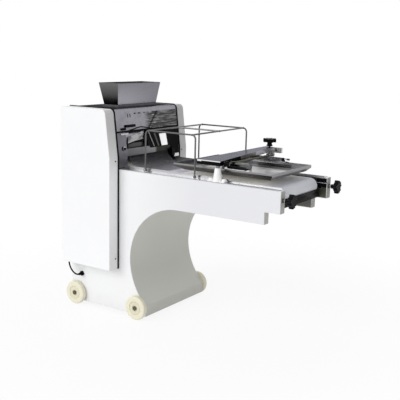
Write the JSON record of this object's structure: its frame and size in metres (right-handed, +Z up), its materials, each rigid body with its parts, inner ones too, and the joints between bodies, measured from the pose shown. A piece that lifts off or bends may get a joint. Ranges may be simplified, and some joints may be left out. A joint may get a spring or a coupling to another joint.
{
  "type": "dough moulder",
  "caption": "Dough moulding machine on wheels: hopper and sheeting rollers in a tall head, then a belt table with curling net, rod guard, pressure board and side guides.",
  "frame": {"origin": "centre of the bounding box, on the floor under the wheels", "axes": "+X towards the discharge end of the table, +Y towards the far side, where the height knob is, +Z up"},
  "size_m": [1.3206, 0.66, 1.183],
  "materials": {
    "white_paint": "satin white powder coat",
    "stainless": "brushed",
    "polished": "polished",
    "dark_sheet": "polished, reflecting a dark room",
    "steel": "machined",
    "black_plastic": "gloss black",
    "black_rubber": "matte",
    "cream_nylon": "moulded cream nylon",
    "white_nylon": "turned white nylon",
    "belt_cloth": "smooth coated cloth",
    "motor_paint": "semi-gloss"
  },
  "bodies": {
    "body": {"near_side_panel": "white_paint", "far_side_panel": "white_paint", "curved_front_sheet": "white_paint", "base_plate": "white_paint", "rear_panel": "white_paint", "near_arm_plate": "stainless", "far_arm_plate": "stainless", "near_head_plate": "stainless", "far_head_plate": "stainless", "head_front_panel": "stainless", "head_top_plate": "dark_sheet", "roller_shield": "dark_sheet", "nylon_block": "white_nylon", "near_side_cover": "white_paint", "far_side_cover": "white_paint", "near_cover_seal": "black_rubber", "far_cover_seal": "black_rubber", "hopper": "stainless", "hopper_collar": "dark_sheet", "drive_chain": "steel", "gearbox": "motor_paint", "motor": "motor_paint", "belt": "belt_cloth", "belt_bed": "stainless", "near_belt_rail": "stainless", "far_belt_rail": "stainless", "net_bar": "stainless", "curling_net": "steel", "near_bridge_post": "white_nylon", "far_bridge_post": "white_nylon", "front_axle": "steel", "rear_axle": "steel", "cord_gland": "black_plastic", "power_lead": "black_rubber"},
    "upper_rear": {"upper_rear_roller": "polished", "upper_rear_gear": "steel"},
    "upper_front": {"upper_front_roller": "polished", "upper_front_gear": "steel"},
    "lower_rear": {"lower_rear_roller": "polished", "lower_rear_gear": "steel"},
    "lower_front": {"lower_front_roller": "polished", "lower_front_gear": "steel"},
    "motor_output": {"motor_sprocket": "steel"},
    "belt_drive": {"drive_roller": "steel"},
    "take_up": {"near_take_up_block": "black_plastic", "far_take_up_block": "black_plastic"},
    "belt_end": {"end_roller": "steel"},
    "near_tension": {"near_tension_knob": "black_plastic"},
    "far_tension": {"far_tension_knob": "black_plastic"},
    "guard": {"guard_cage": "stainless"},
    "board_carrier": {"bridge_plate": "polished", "pressure_board": "polished"},
    "guide_spindle": {"guide_screw": "steel"},
    "near_guide": {"near_side_guide": "stainless"},
    "far_guide": {"far_side_guide": "stainless"},
    "height_control": {"height_knob": "black_plastic"},
    "wheel_near_front": {"near_front_wheel": "cream_nylon"},
    "wheel_near_rear": {"near_rear_wheel": "cream_nylon"},
    "wheel_far_front": {"far_front_wheel": "cream_nylon"},
    "wheel_far_rear": {"far_rear_wheel": "cream_nylon"}
  },
  "joints": [
    {"name": "upper_rear_spin", "type": "hinge", "parent": "body", "child": "upper_rear", "pos_m": [-0.49375, 0, 1], "axis": [0, 1, 0], "continuous": true},
    {"name": "upper_front_spin", "type": "hinge", "parent": "body", "child": "upper_front", "pos_m": [-0.40575, 0, 1], "axis": [0, 1, 0], "continuous": true},
    {"name": "lower_rear_spin", "type": "hinge", "parent": "body", "child": "lower_rear", "pos_m": [-0.45575, 0, 0.914], "axis": [0, 1, 0], "continuous": true},
    {"name": "lower_front_spin", "type": "hinge", "parent": "body", "child": "lower_front", "pos_m": [-0.37575, 0, 0.914], "axis": [0, 1, 0], "continuous": true},
    {"name": "motor_output_spin", "type": "hinge", "parent": "body", "child": "motor_output", "pos_m": [-0.43375, 0, 0.33], "axis": [0, 1, 0], "continuous": true},
    {"name": "belt_drive_spin", "type": "hinge", "parent": "body", "child": "belt_drive", "pos_m": [-0.54375, 0, 0.718], "axis": [0, 1, 0], "continuous": true},
    {"name": "belt_end_spin", "type": "hinge", "parent": "take_up", "child": "belt_end", "pos_m": [0.52625, 0, 0.718], "axis": [0, 1, 0], "continuous": true},
    {"name": "take_up_slide", "type": "slide", "parent": "body", "child": "take_up", "axis": [1, 0, 0], "range_m": [-0.007, 0]},
    {"name": "near_tension_turn", "type": "hinge", "parent": "body", "child": "near_tension", "pos_m": [0.63, -0.24, 0.718], "axis": [1, 0, 0], "range_deg": [-1440, 0]},
    {"name": "far_tension_turn", "type": "hinge", "parent": "body", "child": "far_tension", "pos_m": [0.63, 0.24, 0.718], "axis": [1, 0, 0], "range_deg": [-1440, 0]},
    {"name": "guard_hinge", "type": "hinge", "parent": "body", "child": "guard", "pos_m": [-0.15875, 0, 0.772], "axis": [0, -1, 0], "range_deg": [0, 45]},
    {"name": "board_height", "type": "slide", "parent": "body", "child": "board_carrier", "axis": [0, 0, 1], "range_m": [-0.008, 0.024]},
    {"name": "height_knob_turn", "type": "hinge", "parent": "board_carrier", "child": "height_control", "pos_m": [0.26625, 0.243, 0.9], "axis": [0, 0, 1], "range_deg": [-480, 1440]},
    {"name": "guide_screw_turn", "type": "hinge", "parent": "board_carrier", "child": "guide_spindle", "pos_m": [0.30025, 0, 0.846], "axis": [0, 1, 0], "range_deg": [0, 3600]},
    {"name": "near_guide_slide", "type": "slide", "parent": "board_carrier", "child": "near_guide", "axis": [0, 1, 0], "range_m": [0, 0.06]},
    {"name": "far_guide_slide", "type": "slide", "parent": "board_carrier", "child": "far_guide", "axis": [0, -1, 0], "range_m": [0, 0.06]},
    {"name": "near_front_wheel_spin", "type": "hinge", "parent": "body", "child": "wheel_near_front", "pos_m": [-0.18375, -0.275, 0.0625], "axis": [0, 1, 0], "continuous": true},
    {"name": "near_rear_wheel_spin", "type": "hinge", "parent": "body", "child": "wheel_near_rear", "pos_m": [-0.59775, -0.275, 0.0625], "axis": [0, 1, 0], "continuous": true},
    {"name": "far_front_wheel_spin", "type": "hinge", "parent": "body", "child": "wheel_far_front", "pos_m": [-0.18375, 0.275, 0.0625], "axis": [0, 1, 0], "continuous": true},
    {"name": "far_rear_wheel_spin", "type": "hinge", "parent": "body", "child": "wheel_far_rear", "pos_m": [-0.59775, 0.275, 0.0625], "axis": [0, 1, 0], "continuous": true}
  ],
  "couplings": [
    {"joint": "upper_front_spin", "follows": "upper_rear_spin", "ratio": -1},
    {"joint": "lower_rear_spin", "follows": "upper_rear_spin", "ratio": 1},
    {"joint": "lower_front_spin", "follows": "upper_rear_spin", "ratio": -1},
    {"joint": "motor_output_spin", "follows": "upper_rear_spin", "ratio": 1},
    {"joint": "belt_drive_spin", "follows": "upper_rear_spin", "ratio": 1},
    {"joint": "belt_end_spin", "follows": "upper_rear_spin", "ratio": 1},
    {"joint": "near_tension_turn", "follows": "take_up_slide", "rad_per_m": 3590.4},
    {"joint": "far_tension_turn", "follows": "take_up_slide", "rad_per_m": 3590.4},
    {"joint": "height_knob_turn", "follows": "board_height", "rad_per_m": 1047.2},
    {"joint": "guide_screw_turn", "follows": "near_guide_slide", "rad_per_m": 1047.2},
    {"joint": "far_guide_slide", "follows": "near_guide_slide", "ratio": 1}
  ]
}
